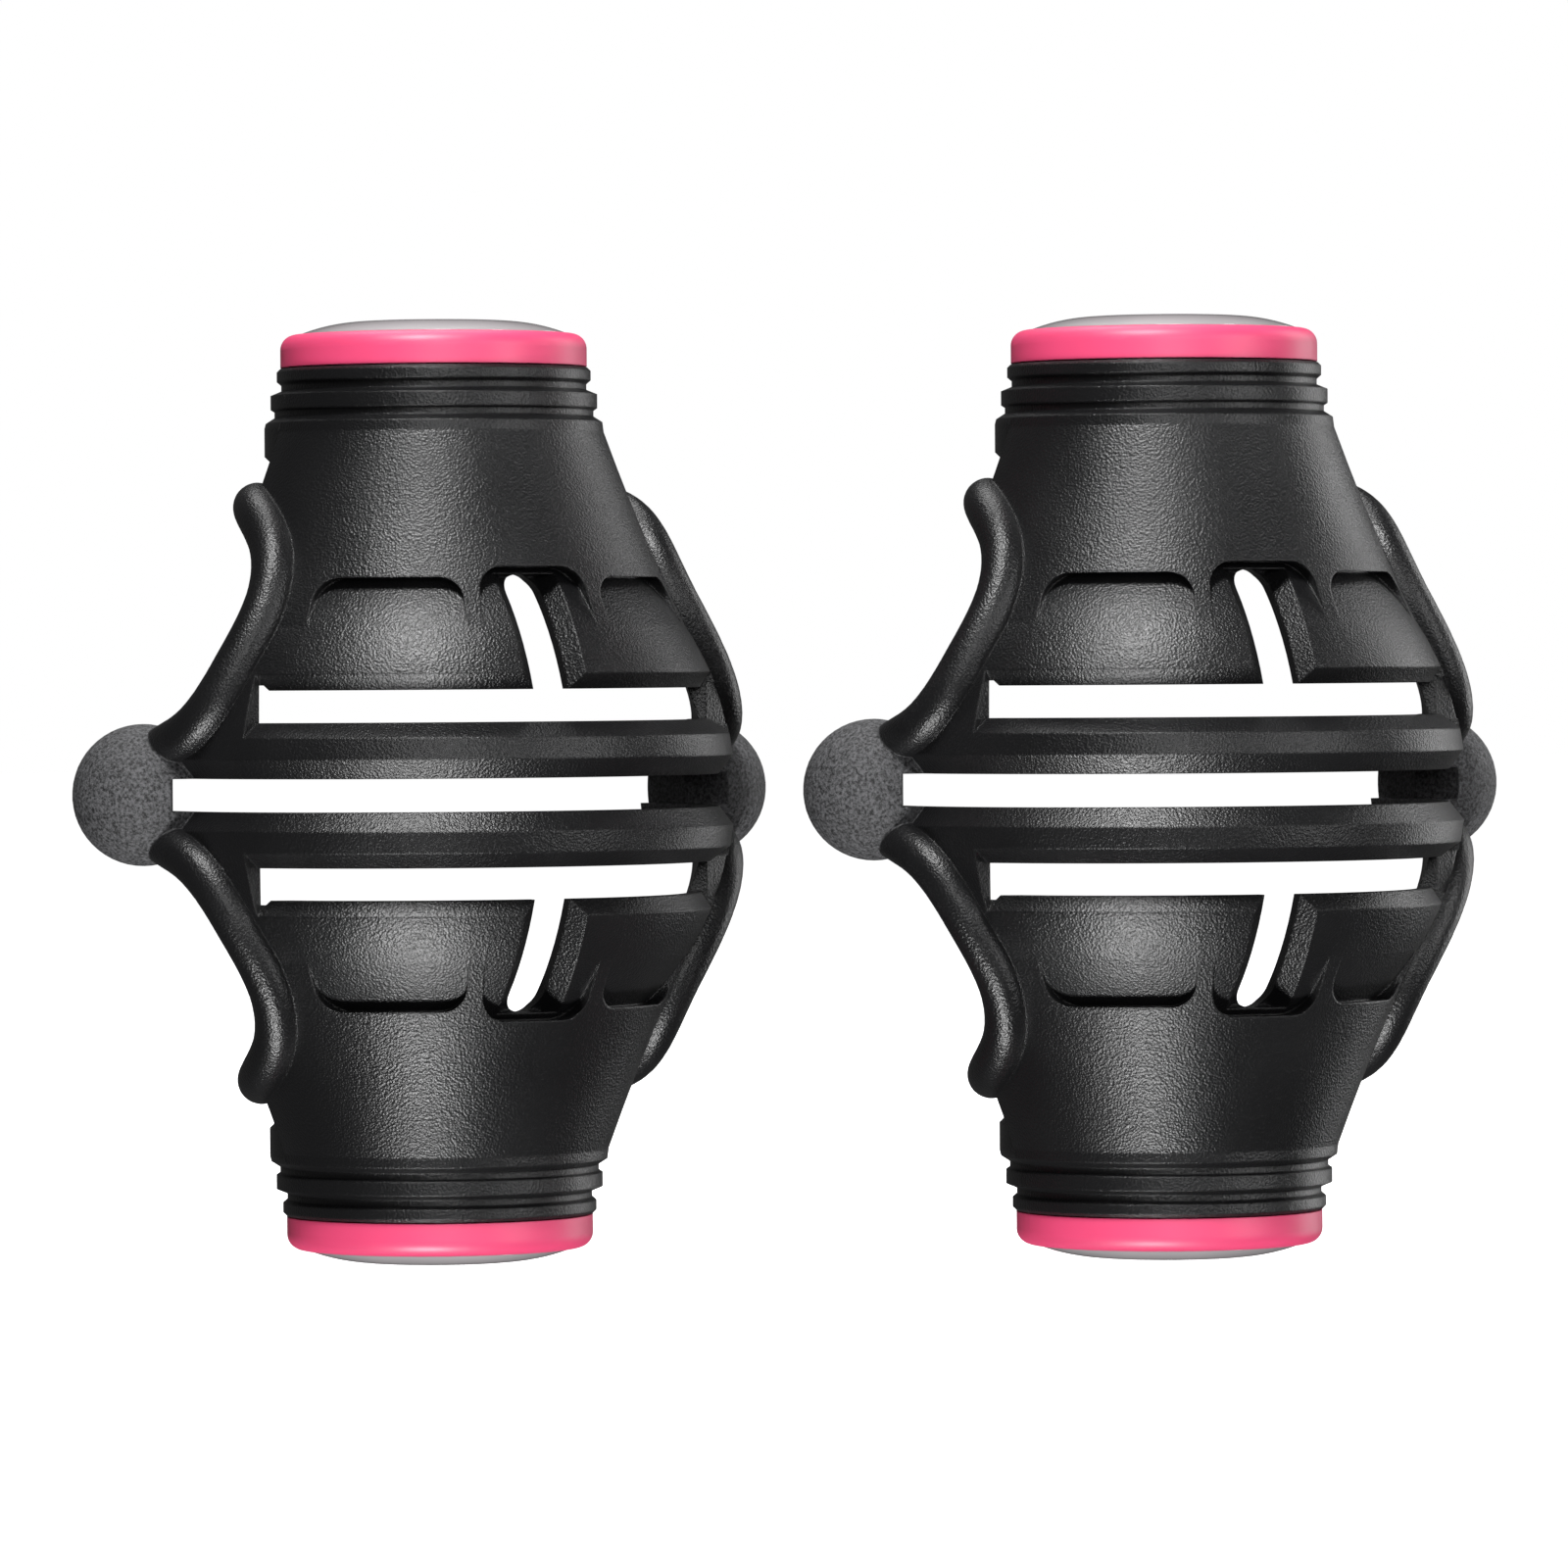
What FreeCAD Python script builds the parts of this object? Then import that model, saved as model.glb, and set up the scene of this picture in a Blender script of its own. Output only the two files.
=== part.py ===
import FreeCAD, Part
import math
import os
import types
import Sketcher

# A pair of golf ball line markers. Each one is an open shell that clips round a ball, with three slots to draw
# lines through, and a turning cap at each end whose sprung cup grips the ball and rolls it under the pen.
#
# Heights in the sheet are measured from the middle of the ball, along the marker's long axis, and the front,
# slotted side of the shell faces -Y. Millimetres and degrees throughout.
sizes = {
    "ballRadius": 21.35,
    "cavityRadius": 21.45,
    "skinRadius": 23.6,
    # flared neck between the ball cavity and the tube
    "flareStart": 13.0,
    "flareBend": 170.0,
    "neckRadius": 13.4,
    "neckTop": 28.3,
    "coreStart": 16.5,
    "coreTop": 25.0,
    "boreRadius": 10.6,
    # ribbed end of the tube
    "shoulderRadius": 13.3,
    "shoulderTop": 29.1,
    "lowGrooveRadius": 12.6,
    "lowRibRadius": 12.9,
    "highGrooveRadius": 12.05,
    "highRibRadius": 12.4,
    "tubeTop": 33.4,
    # depths of the ribs and grooves below the top of the tube
    "ribEdge": 0.25,
    "highRibBottom": 1.0,
    "highGrooveTop": 1.3,
    "highGrooveBottom": 1.75,
    "lowRibTop": 2.1,
    "lowRibBottom": 3.2,
    "lowGrooveTop": 3.4,
    "lowGrooveBottom": 3.85,
    "bearingRadius": 7.58,
    "bearingBottom": 30.3,
    # ball opening at the back, its rolled edge and rim, and the collar that closes the tube
    "openingFrontY": -7.2,
    "openingHighRadius": 8.5,
    "openingLowRadius": 6.67,
    "openingBottom": 3.99,
    "rimBottom": 22.2,
    "rimTop": 24.4,
    "rimRadius": 15.3,
    "rimRoll": 2.1,
    "rimClearance": 1.0,
    "beadRadius": 1.75,
    "beadProud": 0.3,
    "beadStartX": 23.8,
    "beadStartY": 0.6,
    "beadStartHeight": 3.2,
    "beadEndX": 14.6,
    "beadEndY": 1.6,
    "wallBackY": 3.6,
    "collarBottom": 24.45,
    "collarRadius": 13.4,
    "collarNeckRadius": 12.6,
    "collarShoulderBottom": 26.5,
    "collarEdge": 0.4,
    "collarSlope": 0.8,
    # side knobs
    "knobRadius": 5.55,
    "knobOffset": 24.2,
    "knobY": 2.3,
    # pen slots: the bevels start inside the wall, at bevelRadius
    "bevelRadius": 22.35,
    "bevelInner": 20.0,
    "bevelOuter": 26.0,
    "grooveHalfAngle": 91.0,
    "middleHalfGap": 1.28,
    "middleBevelTop": 2.98,
    "middleSlotReach": 22.73,
    "middleSlotLean": 0.466,
    "middleSlotBendY": 0.8,
    "sideGapBottom": 5.6,
    "sideGapTop": 8.1,
    "sideBevelBottom": 4.45,
    "sideBevelTop": 9.35,
    "sideSlotAngle": 65.0,
    "sideSlotInner": 16.0,
    "slotEndRadius": 21.34,
    "slotEndWidth": 4.0,
    "slotEndOver": 0.4,
    "slotEndTurn": 40.0,
    "slitHalfWidth": 1.5,
    "slitTop": 17.0,
    "slitBevelWidth": 1.3,
    "slitBevelSweep": 30.0,
    "slitBevelLead": 1.5,
    # pockets moulded in the flare
    "slitPocketHalfAngle": 14.4,
    "slitPocketTop": 17.6,
    "sidePocketAngle": 37.0,
    "sidePocketHalfAngle": 18.7,
    "sidePocketTop": 16.8,
    "pocketCorner": 1.9,
    "pocketInner": 12.0,
    "pocketOuter": 26.0,
    "pocketFoot": 10.0,
    # turning cap
    "capRadius": 12.1,
    "capBottom": 33.5,
    "capTop": 36.1,
    "capEdge": 1.2,
    "seatRadius": 10.6,
    "seatFloor": 35.3,
    "hubRadius": 7.5,
    "hubBottom": 26.0,
    "hubBore": 5.5,
    "lipRadius": 9.4,
    "lipBottom": 28.6,
    "lipTop": 30.0,
    "webBottom": 30.7,
    "webTop": 31.8,
    "headRoomRadius": 3.0,
    "screwHoleRadius": 1.6,
    # domed badge
    "badgeRadius": 10.5,
    "badgeEdgeTop": 36.15,
    "badgeTop": 37.1,
    "badgeFlatRadius": 6.0,
    "badgeBend": 14.0,
    # sprung cup, its pad, screw and spring
    "cupTravel": 2.0,
    "padGap": 0.05,
    "padThickness": 1.2,
    "padInnerRadius": 4.0,
    "padOuterRadius": 7.8,
    "cupRadius": 8.4,
    "cupRimTop": 20.9,
    "cupChamfer": 0.7,
    "stemRadius": 5.4,
    "stemTop": 28.4,
    "keyReach": 6.1,
    "keyWidth": 1.1,
    "keyBottom": 24.6,
    "keyClearance": 0.1,
    "screwRadius": 1.5,
    "screwBottom": 23.5,
    "screwHeadRadius": 2.6,
    "screwHeadHeight": 1.4,
    "screwHeadEdge": 0.4,
    "recessWidth": 0.6,
    "recessLength": 3.0,
    "recessDepth": 0.8,
    "wireRadius": 0.35,
    "coilRadius": 6.55,
    "coilTurns": 3.0,
    "coilSegment": 0.25,
    "coilClearance": 0.05,
    # where the two markers stand
    "pairOffsetX": 26.15,
    "pairOffsetY": 12.2,
    "middleY": 4.06,
    "toeAngle": 2.33,
}


class Size:
    # A number together with the sheet formula that gives it.
    def __init__(self, value, formula):
        self.value = value
        self.formula = formula

    def __add__(self, other):
        other = asSize(other)
        return Size(self.value + other.value, f"({self.formula} + {other.formula})")

    def __sub__(self, other):
        other = asSize(other)
        return Size(self.value - other.value, f"({self.formula} - {other.formula})")

    def __mul__(self, other):
        other = asSize(other)
        return Size(self.value * other.value, f"({self.formula} * {other.formula})")

    def __truediv__(self, other):
        other = asSize(other)
        return Size(self.value / other.value, f"({self.formula} / {other.formula})")

    def __neg__(self):
        return Size(-self.value, f"(0 - {self.formula})")


def asSize(item):
    if isinstance(item, Size):
        return item
    return Size(float(item), str(float(item)))


def heightOnSphere(radius, offset):
    # Height at which a sphere about the ball's centre stands this far off the axis, and the other way round.
    value = math.sqrt(radius.value**2 - offset.value**2)
    return Size(value, f"sqrt({radius.formula} ^ 2 - {offset.formula} ^ 2)")


doc = FreeCAD.newDocument("BallLineMarkers")
sheet = doc.addObject("Spreadsheet::Sheet", "Sheet")
for row, (alias, number) in enumerate(sizes.items(), start=1):
    sheet.set(f"A{row}", alias)
    sheet.set(f"B{row}", str(number))
    sheet.setAlias(f"B{row}", alias)
doc.recompute()
d = types.SimpleNamespace(**{alias: Size(number, f"Sheet.{alias}") for alias, number in sizes.items()})
zero = asSize(0)
across = FreeCAD.Vector(1, 0, 0)
back = FreeCAD.Vector(0, 1, 0)
up = FreeCAD.Vector(0, 0, 1)
far = 60.0


def drawProfile(sketch, corners, arcs):
    # Closed outline through the corners. arcs gives, by the number of the corner an edge starts from, its radius
    # and the side of the edge its centre lies on: 1 for left, -1 for right. Every corner is tied to the sheet.
    points = [FreeCAD.Vector(x.value, y.value, 0) for x, y in corners]
    ends = []
    for number, start in enumerate(points):
        finish = points[(number + 1) % len(points)]
        if number not in arcs:
            edge = sketch.addGeometry(Part.LineSegment(start, finish), False)
            ends.append((edge, 1, 2))
            continue
        radius, side = arcs[number]
        chord = finish - start
        normal = FreeCAD.Vector(-chord.y, chord.x, 0).normalize()
        height = math.sqrt(radius.value**2 - (chord.Length / 2) ** 2)
        centre = start + chord * 0.5 + normal * (side * height)
        first = math.atan2(start.y - centre.y, start.x - centre.x)
        last = math.atan2(finish.y - centre.y, finish.x - centre.x)
        circle = Part.Circle(centre, FreeCAD.Vector(0, 0, 1), radius.value)
        if side > 0:
            edge = sketch.addGeometry(Part.ArcOfCircle(circle, first, last), False)
            ends.append((edge, 1, 2))
        else:
            edge = sketch.addGeometry(Part.ArcOfCircle(circle, last, first), False)
            ends.append((edge, 2, 1))
        rule = sketch.addConstraint(Sketcher.Constraint("Radius", edge, radius.value))
        sketch.setExpression(f"Constraints[{rule}]", radius.formula)
    for number, (edge, start, finish) in enumerate(ends):
        following, nextStart, nextFinish = ends[(number + 1) % len(ends)]
        sketch.addConstraint(Sketcher.Constraint("Coincident", edge, finish, following, nextStart))
        for kind, axis, size in (("DistanceX", -2, corners[number][0]), ("DistanceY", -1, corners[number][1])):
            if size.value == 0:
                sketch.addConstraint(Sketcher.Constraint("PointOnObject", edge, start, axis))
                continue
            rule = sketch.addConstraint(Sketcher.Constraint(kind, -1, 1, edge, start, size.value))
            sketch.setExpression(f"Constraints[{rule}]", size.formula)


def turnedBody(name, corners, arcs=None, angle=360.0):
    # A body turned about the marker's long axis from an outline of (distance off the axis, height) corners.
    body = doc.addObject("PartDesign::Body", name)
    plane = next(item for item in body.Origin.OriginFeatures if item.Role == "XZ_Plane")
    sketch = body.newObject("Sketcher::SketchObject", name + "Outline")
    sketch.AttachmentSupport = [(plane, "")]
    sketch.MapMode = "FlatFace"
    drawProfile(sketch, corners, arcs or {})
    turn = body.newObject("PartDesign::Revolution", name + "Turn")
    turn.Profile = sketch
    turn.ReferenceAxis = (sketch, ["V_Axis"])
    turn.Angle = angle
    return body


def bodyFeature(body, kind, name, values, place=None):
    feature = body.newObject(kind, name)
    bind(feature, values, place)
    return feature


def bind(item, values, place=None, turn=None):
    for prop, size in values.items():
        item.setExpression(prop, asSize(size).formula)
    if turn is not None:
        item.Placement = FreeCAD.Placement(FreeCAD.Vector(), turn)
    for letter, size in zip("xyz", place or ()):
        item.setExpression(f"Placement.Base.{letter}", asSize(size).formula)


def solid(kind, name, values, place=None, turn=None):
    item = doc.addObject(kind, name)
    bind(item, values, place, turn)
    return item


def turned(name, corners, arcs=None, halfAngle=180.0):
    # A solid turned about the marker's long axis, reaching this many degrees to each side of the front.
    sketch = doc.addObject("Sketcher::SketchObject", name + "Outline")
    sketch.Placement = FreeCAD.Placement(FreeCAD.Vector(), FreeCAD.Rotation(-back, up, -across))
    drawProfile(sketch, corners, arcs or {})
    item = doc.addObject("Part::Revolution", name)
    item.Source = sketch
    item.Axis = up
    item.Angle = 2 * halfAngle
    item.Symmetric = True
    item.Solid = True
    return item


def boolean(kind, name, base, tool):
    item = doc.addObject(kind, name)
    item.Base = base
    item.Tool = tool
    return item


def fused(name, pieces):
    item = doc.addObject("Part::MultiFuse", name)
    item.Shapes = pieces
    return item


def mirrored(source):
    item = doc.addObject("Part::Mirroring", source.Name + "Lower")
    item.Source = source
    item.Normal = up
    return item


def flareRadius(height):
    # Outer radius of the flared neck at this height: an arc hollow side out, from the skin to the neck.
    start = FreeCAD.Vector(math.sqrt(d.skinRadius.value**2 - d.flareStart.value**2), d.flareStart.value, 0)
    finish = FreeCAD.Vector(d.neckRadius.value, d.neckTop.value, 0)
    chord = finish - start
    normal = FreeCAD.Vector(chord.y, -chord.x, 0).normalize()
    bend = d.flareBend.value
    centre = start + chord * 0.5 + normal * math.sqrt(bend**2 - (chord.Length / 2) ** 2)
    return centre.x - math.sqrt(bend**2 - (height - centre.y) ** 2)


def onSkin(y, height):
    # Distance from the middle plane at which the bead's middle stands on the outside of the shell.
    if height < d.flareStart.value:
        skin = math.sqrt(d.skinRadius.value**2 - height**2)
    else:
        skin = flareRadius(height)
    return math.sqrt(skin**2 - y**2) + d.beadProud.value


def beadPath(side):
    # The rolled edge grows out of the knob, follows the ball opening up the outer skin and ends in the rim.
    points = [FreeCAD.Vector(side * d.beadStartX.value, d.beadStartY.value, d.beadStartHeight.value)]
    for radius, height, angles in (
        (d.openingLowRadius.value, openingLowHeight().value, (258, 235, 210, 185)),
        (d.openingHighRadius.value, openingHighHeight().value, (165, 142, 120)),
    ):
        for angle in angles:
            turn = math.radians(angle)
            y = d.openingFrontY.value + radius * (1 + math.cos(turn))
            z = height + radius * math.sin(turn)
            points.append(FreeCAD.Vector(side * onSkin(y, z), y, z))
    top = d.rimTop.value - d.beadRadius.value
    points.append(FreeCAD.Vector(side * d.beadEndX.value, d.beadEndY.value, top))
    curve = Part.BSplineCurve()
    curve.interpolate(points)
    return curve.toShape()


def bead(side):
    edge = beadPath(side)
    start = edge.firstVertex().Point
    section = Part.Wire(Part.Circle(start, edge.tangentAt(edge.FirstParameter), d.beadRadius.value).toShape())
    pipe = Part.Wire(edge).makePipeShell([section], True, False)
    end = Part.makeSphere(d.beadRadius.value, edge.lastVertex().Point)
    item = doc.addObject("Part::Feature", "Bead" + ("Right" if side > 0 else "Left"))
    item.Shape = pipe.fuse(end)
    return item


def tubeRibs():
    # Outside of the tube from its top edge down to the shoulder: two ribs with grooves below them.
    return [
        (d.highRibRadius - d.ribEdge, d.tubeTop),
        (d.highRibRadius, d.tubeTop - d.ribEdge),
        (d.highRibRadius, d.tubeTop - d.highRibBottom),
        (d.highGrooveRadius, d.tubeTop - d.highGrooveTop),
        (d.highGrooveRadius, d.tubeTop - d.highGrooveBottom),
        (d.lowRibRadius, d.tubeTop - d.lowRibTop),
        (d.lowRibRadius, d.tubeTop - d.lowRibBottom),
        (d.lowGrooveRadius, d.tubeTop - d.lowGrooveTop),
        (d.lowGrooveRadius, d.tubeTop - d.lowGrooveBottom),
        (d.shoulderRadius, d.shoulderTop),
    ]


def shellWall():
    # Upper half of the shell's wall, turned all the way round: ball cavity, cored neck, tube and bearing flange.
    corners = [
        (d.cavityRadius, zero),
        (heightOnSphere(d.cavityRadius, d.coreStart), d.coreStart),
        (d.boreRadius, d.coreTop),
        (d.boreRadius, d.bearingBottom),
        (d.bearingRadius, d.bearingBottom),
        (d.bearingRadius, d.tubeTop),
    ]
    corners += tubeRibs()
    flare = len(corners)
    corners += [(d.neckRadius, d.neckTop), (heightOnSphere(d.skinRadius, d.flareStart), d.flareStart)]
    corners += [(d.skinRadius, zero)]
    arcs = {0: (d.cavityRadius, 1), flare: (d.flareBend, 1), flare + 1: (d.skinRadius, -1)}
    return turned("ShellWall", corners, arcs)


def pocketTool():
    # Three pockets cut through the flare down to the ball cavity's skin.
    wedges = []
    for name, halfAngle, top, middle in (
        ("SlitPocket", d.slitPocketHalfAngle, d.slitPocketTop, asSize(0)),
        ("LeftPocket", d.sidePocketHalfAngle, d.sidePocketTop, -d.sidePocketAngle),
        ("RightPocket", d.sidePocketHalfAngle, d.sidePocketTop, d.sidePocketAngle),
    ):
        inner, outer = d.pocketInner, d.pocketOuter
        corners = [(inner, top), (inner, d.pocketFoot), (outer, d.pocketFoot), (outer, top)]
        wedge = turned(name, corners, halfAngle=halfAngle.value)
        wedge.setExpression("Angle", (halfAngle * 2).formula)
        wedge.setExpression("Placement.Rotation.Angle", middle.formula)
        doc.recompute()
        edges = [
            (number, sizes["pocketCorner"], sizes["pocketCorner"])
            for number, edge in enumerate(wedge.Shape.Edges, start=1)
            if edge.BoundBox.ZMin > top.value - 0.01 and isinstance(edge.Curve, Part.Line)
        ]
        rounded = doc.addObject("Part::Fillet", name + "Rounded")
        rounded.Base = wedge
        rounded.Edges = edges
        wedges.append(rounded)
    skin = solid("Part::Sphere", "PocketFloor", {"Radius": d.skinRadius})
    return boolean("Part::Cut", "Pockets", fused("PocketWedges", wedges), skin)


def openingHighHeight():
    return d.rimBottom - d.openingHighRadius


def openingLowHeight():
    return d.openingBottom + d.openingLowRadius


def backTool():
    # Everything that is open behind the upper half of the shell: the ball opening with its rounded front edge, the
    # back of the knobs, and the space that the collar fills behind the tube.
    sketch = doc.addObject("Sketcher::SketchObject", "BallOpeningOutline")
    sketch.Placement = FreeCAD.Placement(FreeCAD.Vector(), FreeCAD.Rotation(back, up, across))
    corners = [
        (d.openingFrontY + d.openingHighRadius, d.rimBottom),
        (d.openingFrontY, openingHighHeight()),
        (d.openingFrontY, openingLowHeight()),
        (d.openingFrontY + d.openingLowRadius, d.openingBottom),
        (asSize(far), d.openingBottom),
        (asSize(far), d.rimBottom),
    ]
    drawProfile(sketch, corners, {0: (d.openingHighRadius, 1), 2: (d.openingLowRadius, 1)})
    opening = doc.addObject("Part::Extrusion", "BallOpening")
    opening.Base = sketch
    opening.Dir = across
    opening.DirMode = "Custom"
    opening.Solid = True
    opening.Symmetric = True
    opening.LengthFwd = 2 * far
    knobBack = solid(
        "Part::Box",
        "KnobBack",
        {"Length": 2 * far, "Width": far, "Height": d.openingBottom},
        (asSize(-far), d.wallBackY, zero),
    )
    collarRoom = solid(
        "Part::Box",
        "CollarRoom",
        {"Length": 2 * far, "Width": far, "Height": far},
        (asSize(-far), zero, d.collarBottom),
    )
    return fused("BackTool", [opening, knobBack, collarRoom])


def ringTool():
    # Trims the flare behind the parting line to the rolled rim that carries the collar.
    corners = [
        (d.rimRadius, d.rimBottom - d.rimClearance),
        (asSize(far), d.rimBottom - d.rimClearance),
        (asSize(far), d.collarBottom),
        (d.rimRadius - d.rimRoll, d.collarBottom),
        (d.rimRadius - d.rimRoll, d.rimTop),
        (d.rimRadius, d.rimTop - d.rimRoll),
    ]
    tool = turned("RimTool", corners, {4: (d.rimRoll, -1)}, 90.0)
    tool.Placement = FreeCAD.Placement(FreeCAD.Vector(), FreeCAD.Rotation(up, 180))
    return tool


def slotTool():
    # One side slot with bevelled edges and ends, and the slit that runs up from it at the front.
    low = heightOnSphere(d.bevelRadius, d.sideGapBottom)
    high = heightOnSphere(d.bevelRadius, d.sideGapTop)
    lowOut = heightOnSphere(d.skinRadius, d.sideBevelBottom)
    highOut = heightOnSphere(d.skinRadius, d.sideBevelTop)
    corners = [
        (d.sideSlotInner, d.sideGapTop),
        (d.sideSlotInner, d.sideGapBottom),
        (low, d.sideGapBottom),
        (lowOut + (lowOut - low), d.sideBevelBottom - (d.sideGapBottom - d.sideBevelBottom)),
        (highOut + (highOut - high), d.sideBevelTop + (d.sideBevelTop - d.sideGapTop)),
        (high, d.sideGapTop),
    ]
    slot = turned("SideSlot", corners, halfAngle=sizes["sideSlotAngle"])
    slot.setExpression("Angle", (d.sideSlotAngle * 2).formula)
    pieces = [slot]
    for name, side in (("Left", -1), ("Right", 1)):
        turn = math.radians(sizes["sideSlotAngle"])
        reach = sizes["slotEndRadius"]
        foot = sizes["sideGapBottom"] - sizes["slotEndOver"]
        place = (reach * math.sin(turn) * side, -reach * math.cos(turn), foot)
        bevel = solid(
            "Part::Box",
            "SlotEnd" + name,
            {
                "Length": d.slotEndWidth,
                "Width": d.slotEndWidth,
                "Height": d.sideGapTop - d.sideGapBottom + d.slotEndOver * 2,
            },
        )
        spin = (sizes["sideSlotAngle"] - 90 - sizes["slotEndTurn"]) * side + (0 if side > 0 else -90)
        bevel.Placement = FreeCAD.Placement(FreeCAD.Vector(*place), FreeCAD.Rotation(up, spin))
        pieces.append(bevel)
    slit = solid(
        "Part::Box",
        "Slit",
        {"Length": d.slitHalfWidth * 2, "Width": far, "Height": d.slitTop - d.slitHalfWidth - d.sideGapTop},
        (-d.slitHalfWidth, asSize(-far), d.sideGapTop),
    )
    slitEnd = solid(
        "Part::Cylinder",
        "SlitEnd",
        {"Radius": d.slitHalfWidth, "Height": far},
        (zero, asSize(-far), d.slitTop - d.slitHalfWidth),
        FreeCAD.Rotation(across, -90),
    )
    return pieces + [slit, slitEnd, slitBevel()]


def slitBevel():
    # The slit's two bevels follow the skin: a wedge turned about the crosswise axis, between two heights.
    sketch = doc.addObject("Sketcher::SketchObject", "SlitBevelOutline")
    outer = d.skinRadius * 2 - d.bevelRadius
    corners = [
        (d.slitHalfWidth, d.bevelRadius),
        (d.slitHalfWidth + d.slitBevelWidth * 2, outer),
        (-(d.slitHalfWidth + d.slitBevelWidth * 2), outer),
        (-d.slitHalfWidth, d.bevelRadius),
    ]
    drawProfile(sketch, corners, {})
    wedge = doc.addObject("Part::Revolution", "SlitBevel")
    wedge.Source = sketch
    wedge.Axis = across
    wedge.setExpression("Angle", d.slitBevelSweep.formula)
    wedge.Solid = True
    start = math.degrees(math.asin(sizes["sideGapTop"] / sizes["skinRadius"])) - sizes["slitBevelLead"]
    turn = 180 - start - sizes["slitBevelSweep"]
    wedge.Placement = FreeCAD.Placement(FreeCAD.Vector(), FreeCAD.Rotation(across, turn))
    limit = solid(
        "Part::Box",
        "SlitBevelLimit",
        {"Length": 2 * far, "Width": far, "Height": d.slitTop},
        (asSize(-far), asSize(-far), zero),
    )
    return boolean("Part::Common", "SlitBevelTrimmed", wedge, limit)


def middleGap():
    # The middle slot runs from knob to knob and a little way into each: its ends stand square behind and lean
    # outward in front, where the pen comes in.
    sketch = doc.addObject("Sketcher::SketchObject", "MiddleGapOutline")
    reach = d.middleSlotReach + d.middleSlotLean * far
    bend = d.middleSlotReach - d.middleSlotLean * d.middleSlotBendY
    corners = [
        (-reach, asSize(-far)),
        (reach, asSize(-far)),
        (bend, d.middleSlotBendY),
        (bend, asSize(far)),
        (-bend, asSize(far)),
        (-bend, d.middleSlotBendY),
    ]
    drawProfile(sketch, corners, {})
    gap = doc.addObject("Part::Extrusion", "MiddleGap")
    gap.Base = sketch
    gap.Dir = up
    gap.DirMode = "Custom"
    gap.Solid = True
    gap.Symmetric = True
    gap.setExpression("LengthFwd", (d.middleHalfGap * 2).formula)
    return gap


def guideShell(name):
    upper = shellWall()
    wall = fused("Wall", [upper, mirrored(upper)])
    upperTools = fused("UpperTools", [pocketTool(), backTool(), ringTool()] + slotTool())
    openWall = boolean("Part::Cut", "OpenUpper", wall, upperTools)
    openWall = boolean("Part::Cut", "OpenWall", openWall, mirrored(upperTools))
    middleCorners = [
        (d.bevelInner, d.middleHalfGap),
        (heightOnSphere(d.bevelRadius, d.middleHalfGap), d.middleHalfGap),
        (d.skinRadius * 2 - d.bevelRadius, d.middleBevelTop * 2 - d.middleHalfGap),
        (d.bevelOuter, zero),
        (d.bevelInner, zero),
    ]
    groove = turned("MiddleGroove", middleCorners, halfAngle=sizes["grooveHalfAngle"])
    openWall = boolean("Part::Cut", "GroovedWall", openWall, fused("MiddleGrooves", [groove, mirrored(groove)]))
    knobs = [
        solid("Part::Sphere", label, {"Radius": d.knobRadius}, (offset, d.knobY, zero))
        for label, offset in (("KnobRight", d.knobOffset), ("KnobLeft", -d.knobOffset))
    ]
    beads = [bead(1), bead(-1)]
    body = fused("RawShell", [openWall] + knobs + beads + [mirrored(item) for item in beads])
    cavity = solid("Part::Sphere", "Cavity", {"Radius": d.cavityRadius})
    path = solid(
        "Part::Cylinder",
        "BallPath",
        {"Radius": d.cavityRadius, "Height": far},
        turn=FreeCAD.Rotation(across, -90),
    )
    return boolean("Part::Cut", name, body, fused("ClearWay", [cavity, path, middleGap()]))


def collar(name):
    # Half ring that closes the back of the tube over the cap's bearing.
    corners = [
        (d.boreRadius, d.collarBottom),
        (d.boreRadius, d.bearingBottom),
        (d.bearingRadius, d.bearingBottom),
        (d.bearingRadius, d.tubeTop),
    ]
    corners += tubeRibs()
    corners += [
        (d.collarRadius, d.shoulderTop - d.collarEdge),
        (d.collarRadius, d.collarShoulderBottom),
        (d.collarNeckRadius, d.collarShoulderBottom - d.collarSlope),
        (d.collarNeckRadius, d.collarBottom),
    ]
    return turnedBody(name, corners, angle=180.0)


def cap(name):
    # Turning cap: a broad head over the end of the tube and a hub with a lip that runs behind the bearing.
    corners = [
        (d.screwHoleRadius, d.webBottom),
        (d.hubBore, d.webBottom),
        (d.hubBore, d.hubBottom),
        (d.hubRadius, d.hubBottom),
        (d.hubRadius, d.lipBottom),
        (d.lipRadius, d.lipBottom),
        (d.lipRadius, d.lipTop),
        (d.hubRadius, d.lipTop),
        (d.hubRadius, d.capBottom),
        (d.capRadius, d.capBottom),
        (d.capRadius, d.capTop - d.capEdge),
        (d.capRadius - d.capEdge, d.capTop),
        (d.seatRadius, d.capTop),
        (d.seatRadius, d.seatFloor),
        (d.headRoomRadius, d.seatFloor),
        (d.headRoomRadius, d.webTop),
        (d.screwHoleRadius, d.webTop),
    ]
    body = turnedBody(name, corners, {10: (d.capEdge, 1)})
    reach = d.keyReach + d.keyClearance
    width = d.keyWidth + d.keyClearance * 2
    bodyFeature(
        body,
        "PartDesign::SubtractiveBox",
        name + "Keyway",
        {"Length": reach * 2, "Width": width, "Height": d.webBottom - d.hubBottom},
        (-reach, -(width / 2), d.hubBottom),
    )
    return body


def badge(name):
    # Clear domed disc set in the cap, flat in the middle so that the marker stands on it.
    corners = [
        (zero, d.seatFloor),
        (d.badgeRadius, d.seatFloor),
        (d.badgeRadius, d.badgeEdgeTop),
        (d.badgeFlatRadius, d.badgeTop),
        (zero, d.badgeTop),
    ]
    return turnedBody(name, corners, {2: (d.badgeBend, 1)})


def gripRadius():
    return d.ballRadius + d.padGap + d.padThickness


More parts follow.
